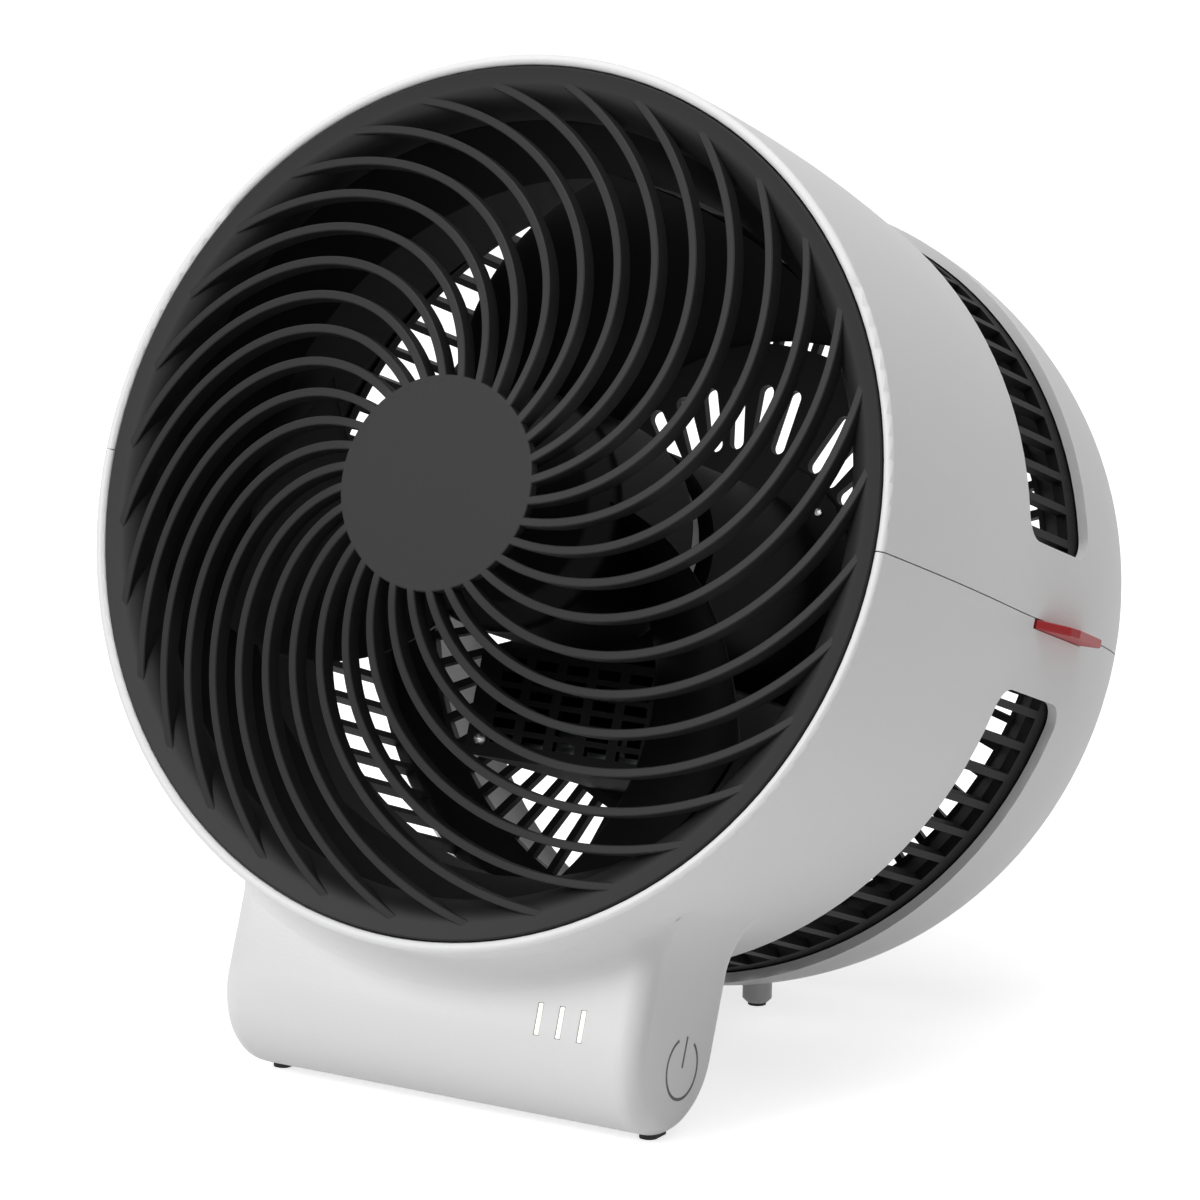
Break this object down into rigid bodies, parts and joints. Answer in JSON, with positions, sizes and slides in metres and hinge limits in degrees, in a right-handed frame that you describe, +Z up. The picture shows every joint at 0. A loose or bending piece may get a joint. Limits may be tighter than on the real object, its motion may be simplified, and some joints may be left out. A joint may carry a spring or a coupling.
{
  "type": "air circulator fan",
  "caption": "Desktop air circulator: tilted drum housing on a slab foot, dark domed spiral-rib grille, side intake slots, touch power area and red release tabs.",
  "frame": {"origin": "on the floor under the middle of the overall box", "axes": "+X to the right seen from the front, the fan blows towards -Y and up, +Z up"},
  "size_m": [0.2434, 0.2502, 0.2771],
  "materials": {
    "white_housing": "fine satin texture",
    "black_grille": "matte",
    "black_inner": "matte",
    "impeller_plastic": "satin",
    "red_plastic": "satin",
    "light_lens": "clear diffusing",
    "symbol_ink": "printed",
    "rubber_pad": "matte",
    "zinc_steel": "zinc plated",
    "bearing_steel": "ground",
    "lamination": "stacked sheets",
    "copper_wire": "enamelled",
    "magnet": "sintered",
    "circuit_board": "solder mask",
    "inlet_plastic": "smooth"
  },
  "bodies": {
    "housing": {"lower_shell": "white_housing", "front_grille": "black_grille", "air_duct": "black_inner", "intake_basket": "black_inner", "basket_screws": "zinc_steel", "motor_base": "black_inner", "motor_screws": "zinc_steel", "bearing_tube": "zinc_steel", "front_bearing": "bearing_steel", "rear_bearing": "bearing_steel", "stator_core": "lamination", "stator_windings": "copper_wire", "motor_board": "circuit_board", "driver_box": "black_inner", "vent_cover": "black_inner", "vent_cover_screws": "zinc_steel", "driver_board": "circuit_board", "foot_cover": "white_housing", "foot_cover_screws": "zinc_steel", "power_inlet": "inlet_plastic", "control_board": "circuit_board", "control_board_screws": "zinc_steel", "indicator_lenses": "light_lens", "indicator_leds": "light_lens", "touch_sensor": "circuit_board", "power_symbol": "symbol_ink", "latch_pins": "zinc_steel", "front_pads": "rubber_pad", "rear_pads": "rubber_pad"},
    "fan": {"impeller": "impeller_plastic", "impeller_nut": "zinc_steel", "rotor_cup": "zinc_steel", "rotor_magnet": "magnet", "rotor_shaft": "bearing_steel"},
    "right_lever": {"latch_right": "red_plastic"},
    "left_lever": {"latch_left": "red_plastic"},
    "upper_half": {"upper_shell": "white_housing"}
  },
  "joints": [
    {"name": "fan_spin", "type": "hinge", "parent": "housing", "child": "fan", "pos_m": [0, -0.02835, 0.14408], "axis": [0, -0.9409, 0.3387], "continuous": true},
    {"name": "right_latch_swing", "type": "hinge", "parent": "housing", "child": "right_lever", "pos_m": [0.1089, 0.02065, 0.12489], "axis": [0, -0.3387, -0.9409], "range_deg": [0, 14]},
    {"name": "left_latch_swing", "type": "hinge", "parent": "housing", "child": "left_lever", "pos_m": [-0.1089, 0.02065, 0.12489], "axis": [0, 0.3387, 0.9409], "range_deg": [0, 14]},
    {"name": "upper_shell_lift", "type": "slide", "parent": "housing", "child": "upper_half", "axis": [0, 0.3387, 0.9409], "range_m": [0, 0.13]}
  ]
}
